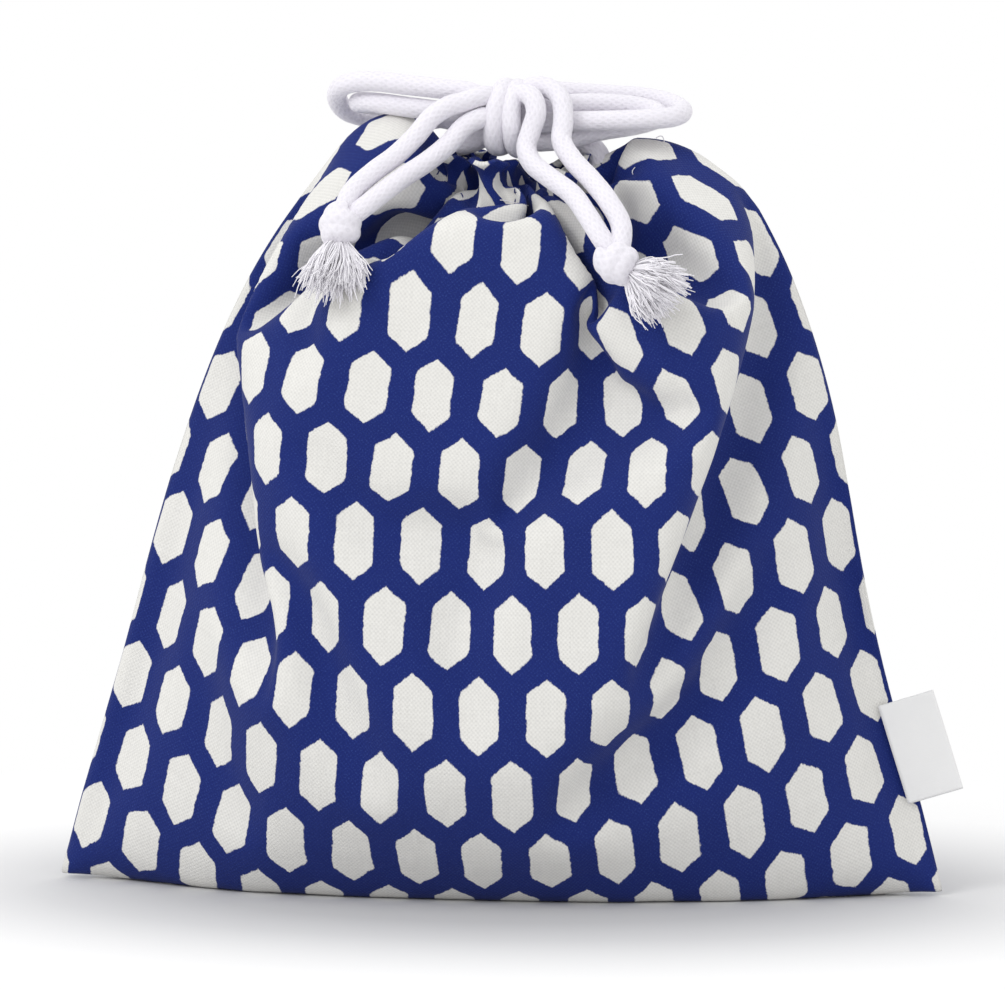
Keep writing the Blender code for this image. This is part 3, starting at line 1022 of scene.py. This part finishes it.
def tuft_line(tuft, tufts, origin, axes, t, random):
    """Centre line of one tuft: it leaves the knot, leans out and droops under its weight.

    Tufts are spread like the seeds of a sunflower, and an outer one leans out further.
    """
    across, depth, along = axes
    angle = 2.4 * tuft + random.uniform(-0.3, 0.3)
    spread = math.sqrt((tuft + 0.5) / tufts)
    length = random.uniform(*TUFT_LENGTH)
    lean = TUFT_LEAN * spread * random.uniform(0.75, 1.1)
    reach = 0.0020 * spread + length * math.sin(lean) * (t - 0.22 * t**2)
    turn = angle + random.normal() * 0.4 * t
    line = (
        origin + (reach * np.cos(turn))[:, None] * across
        + (0.75 * reach * np.sin(turn))[:, None] * depth
        + (length * math.cos(lean) * t + 0.0016 * t**2)[:, None] * along
    )
    line[:, 2] -= 0.0010 * t**2
    return line


def fibre_line(line, origin, t, random):
    """One fibre of a tuft: its line moved aside, curled, waved and cut to its own length."""
    offset = random.normal(size=3) * 0.00050
    curl = random.normal(size=3) * 0.00115
    phase = random.uniform(0, 6.3, 3)
    wave = np.sin(t[:, None] * random.uniform(4, 13) + phase) * 0.00036
    reached = random.uniform(0.72, 1.08)
    path = line + offset * (0.8 + 1.1 * t[:, None]) + curl * t[:, None] ** 2.5
    return origin + (path + wave * t[:, None] - origin) * reached


class POUCH_OT_tassels(bpy.types.Operator):
    """Make the frayed ends of the drawcords"""

    bl_idname = "pouch.tassels"
    bl_label = "Tassels"

    def execute(self, context):
        cord = context.scene.pouch_cord
        material = fibre_material(cord)
        random = np.random.default_rng(7)
        t = np.linspace(0.0, 1.0, 8)
        for side, centre in END_KNOTS.items():
            axes = cross_frame(TASSEL_DIRECTIONS[side])
            origin = np.array(centre) * MM + axes[2] * 0.0042
            paths, radii = [], []
            for tuft in range(cord.tufts):
                line = tuft_line(tuft, cord.tufts, origin, axes, t, random)
                for _ in range(cord.fibres // cord.tufts):
                    paths.append(fibre_line(line, origin, t, random))
                    radii.append(random.uniform(0.00015, 0.00030) * (1.0 - 0.35 * t**2))
            piece = joined_tubes(f"{side}_fray", paths, radii, 4, material)
            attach(piece, "root")
            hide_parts(f"{side}_tassel")
        return {"FINISHED"}


# ---------------------------------------------------------------- sewing
def stitch_paths(line, surface):
    """Short paths laid on the cloth at even steps along a line, dipping in at both ends.

    A stitch whose points miss the cloth, or jump from one fold to another, is left out.
    """
    pitch, stitch, most_gap, most_step = 0.0029, 0.0021, 0.0022, 0.0011
    dip = (-0.0003, 0.0001, 0.00015, 0.0001, -0.0003)
    run = running_length(line)
    paths = []
    for start in np.arange(0.0, run[-1] - 0.003, pitch):
        along = start + np.linspace(0.0, stitch, len(dip))
        guess = np.column_stack([np.interp(along, run, column) for column in line.T])
        path, furthest = [], 0.0
        for place, lift in zip(guess, dip):
            near, normal, _, distance = surface.find_nearest(place.tolist())
            path.append(near + normal * lift)
            furthest = max(furthest, distance)
        steps = np.linalg.norm(np.diff(path, axis=0), axis=1)
        if furthest < most_gap and steps.max() < most_step:
            paths.append(np.array(path))
    return paths


def thread_paths(surface):
    """Loose ends of thread: parabolas in random directions, laid on the cloth and smoothed."""
    random = np.random.default_rng(3)
    t = np.linspace(0.0, 1.0, 12)
    paths = []
    for x, z, length in LOOSE_THREADS:
        start, _, _, _ = surface.ray_cast((x * MM, -0.2, z * MM), (0.0, 1.0, 0.0))
        if start is None:
            continue
        lean = np.array(random.normal(size=3)) * (0.5, 0.3, 0.7)
        bend = np.array(random.normal(size=3)) * 0.6
        path = np.array(start) + np.outer(t * length * MM, lean) + np.outer(t**2 * length * MM, bend)
        lifted = []
        for place, share in zip(path, t):
            near, outward, _, _ = surface.find_nearest(place.tolist())
            lifted.append(near + outward * (0.0002 + 0.0010 * math.sin(share * math.pi)))
        lifted = np.array(lifted)
        for _ in range(6):
            lifted[1:-1] = (lifted[:-2] + 2 * lifted[1:-1] + lifted[2:]) / 4
        paths.append(lifted)
    return paths


class POUCH_OT_sewing(bpy.types.Operator):
    """Sew the channel's line of stitches and leave a few loose threads"""

    bl_idname = "pouch.sewing"
    bl_label = "Sewing"

    def execute(self, context):
        cloth = context.scene.pouch_cloth
        pouch = bpy.data.objects["canvas_pouch"]
        cut = FlatCut(cloth)
        points = read_vectors(pouch.data.vertices, "co")
        normals = read_vectors(pouch.data.vertex_normals, "vector")
        surface = BVHTree.FromObject(pouch, context.evaluated_depsgraph_get())
        ring = np.append(cut.index[cut.hem_row], cut.index[cut.hem_row, 0])
        line = points[ring] + normals[ring] * 0.0012
        for name, paths, radius, sides, material in (
            ("hem_stitches", stitch_paths(line, surface), 0.00019, 6, thread_material(cloth)),
            ("loose_threads", thread_paths(surface), 0.00013, 5, fibre_material(context.scene.pouch_cord)),
        ):
            piece = joined_tubes(name, paths, [radius] * len(paths), sides, material)
            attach(piece, "root")
        return {"FINISHED"}


# ---------------------------------------------------------------- label
def label_profile(reach, spacing):
    """The tape's section: out from the seam, round a half-circle fold, and back."""
    bend = np.linspace(-math.pi / 2, math.pi / 2, 9)
    front = np.column_stack([np.linspace(0, reach, 16), np.full(16, -spacing)])
    fold = np.column_stack([reach + spacing * np.cos(bend), spacing * np.sin(bend)])
    return np.vstack([front, fold[1:-1], front[::-1] * (1, -1)])


class POUCH_OT_label(bpy.types.Operator):
    """Make the folded tape in the right seam"""

    bl_idname = "pouch.label"
    bl_label = "Side label"

    def execute(self, context):
        low, high = (np.array(corner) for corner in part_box("side_label"))
        tilt, reach, length = math.radians(17.5), 0.0150, 0.0280
        out = np.array((math.cos(tilt), 0.0, math.sin(tilt)))
        down = np.array((math.sin(tilt), 0.0, -math.cos(tilt)))
        profile = label_profile(reach, 0.00045)
        along = np.linspace(-length / 2, length / 2, 41)
        s, v = np.meshgrid(profile[:, 0], along)
        # The free end curls by s^2 * cos(3 v), and one corner a little more than the other.
        curl = 0.0009 * (s / reach) ** 2 * np.cos(v / length * 3.0)
        curl = curl - 0.0006 * (v / length) * (s / reach)
        start = (low + high) / 2 - out * (reach * 0.62)
        points = start + s[..., None] * out + v[..., None] * down
        points[..., 1] += profile[:, 1] + curl - 0.0004
        grid = np.arange(s.size).reshape(s.shape)
        faces = np.stack([grid[:-1, :-1], grid[:-1, 1:], grid[1:, 1:], grid[1:, :-1]], -1)
        faces = faces.reshape(-1, 4)
        flat = np.stack(np.meshgrid(running_length(profile), along), -1).reshape(-1, 2)
        piece = mesh_object(
            "seam_label", points.reshape(-1, 3), faces.tolist(), label_material(),
            flat[faces.ravel()],
        )
        wall = piece.modifiers.new("thickness", "SOLIDIFY")
        wall.thickness = 0.0003
        wall.offset = 0.0
        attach(piece, "root")
        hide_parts("side_label")
        return {"FINISHED"}


# ---------------------------------------------------------------- stage
def area_light(name, place, target, power, size):
    """A square light of this power in watts and size in metres, turned to the target."""
    data = bpy.data.lights.new(name, "AREA")
    data.energy = power
    data.size = size
    light = add_object(name, data)
    light.location = place
    light.rotation_euler = (Vector(target) - Vector(place)).to_track_quat("-Z", "Y").to_euler()


class POUCH_OT_stage(bpy.types.Operator):
    """Set up the floor, the lights and the camera"""

    bl_idname = "pouch.stage"
    bl_label = "Stage"

    def execute(self, context):
        view = context.scene.pouch_stage
        mesh = bpy.data.meshes.new("floor")
        floor_grid = bmesh.new()
        bmesh.ops.create_grid(floor_grid, x_segments=4, y_segments=4, size=6.0)
        floor_grid.to_mesh(mesh)
        floor_grid.free()
        mesh.materials.append(floor_material())
        floor = add_object("floor", mesh)

        middle = (0.0, 0.0, 0.10)
        area_light("key", (-0.75, -0.95, 1.15), middle, 7.5, 0.7)
        area_light("top", (0.25, 0.35, 1.35), middle, 1.2, 0.8)
        world = bpy.data.worlds.new("white_room")
        context.scene.world = world
        world.use_nodes = True
        sky = world.node_tree.nodes["Background"]
        sky.inputs["Color"].default_value = (1.0, 1.0, 1.0, 1.0)
        sky.inputs["Strength"].default_value = 1.0
        context.scene.view_settings.view_transform = "Standard"

        back = Vector((
            math.sin(view.azimuth) * math.cos(view.elevation),
            -math.cos(view.azimuth) * math.cos(view.elevation),
            math.sin(view.elevation),
        ))
        aim = Vector((0.0004, 0.0, 0.1083))
        data = bpy.data.cameras.new("camera")
        data.sensor_width = 36.0
        data.lens = data.sensor_width * view.distance / view.view_width
        camera = add_object("camera", data)
        camera.location = aim + back * view.distance
        camera.rotation_euler = back.to_track_quat("Z", "Y").to_euler()
        context.scene.camera = camera
        return {"FINISHED"}


class POUCH_PT_panel(bpy.types.Panel):
    """Sidebar panel with the pouch's pieces and settings"""

    bl_idname = "POUCH_PT_panel"
    bl_label = "Drawstring pouch"
    bl_space_type = "VIEW_3D"
    bl_region_type = "UI"
    bl_category = "Pouch"

    def draw(self, context):
        scene = context.scene
        for settings in (scene.pouch_cloth, scene.pouch_cord, scene.pouch_stage):
            box = self.layout.box()
            for key in settings.__annotations__:
                box.prop(settings, key)
        for operator in OPERATORS:
            self.layout.operator(operator.bl_idname)


SETTINGS = {
    "pouch_cloth": PouchClothSettings,
    "pouch_cord": PouchCordSettings,
    "pouch_stage": PouchStageSettings,
}
OPERATORS = (
    POUCH_OT_stage, POUCH_OT_end_knots, POUCH_OT_tassels, POUCH_OT_cords, POUCH_OT_cloth,
    POUCH_OT_sewing, POUCH_OT_label,
)


def register():
    for name, group in SETTINGS.items():
        bpy.utils.register_class(group)
        setattr(bpy.types.Scene, name, PointerProperty(type=group))
    for operator in OPERATORS:
        bpy.utils.register_class(operator)
    bpy.utils.register_class(POUCH_PT_panel)


def unregister():
    bpy.utils.unregister_class(POUCH_PT_panel)
    for operator in reversed(OPERATORS):
        bpy.utils.unregister_class(operator)
    for name, group in SETTINGS.items():
        delattr(bpy.types.Scene, name)
        bpy.utils.unregister_class(group)


def main():
    register()
    for operator in OPERATORS:
        name = operator.bl_idname.split(".")[1]
        getattr(bpy.ops.pouch, name)()


if __name__ == "__main__":
    main()
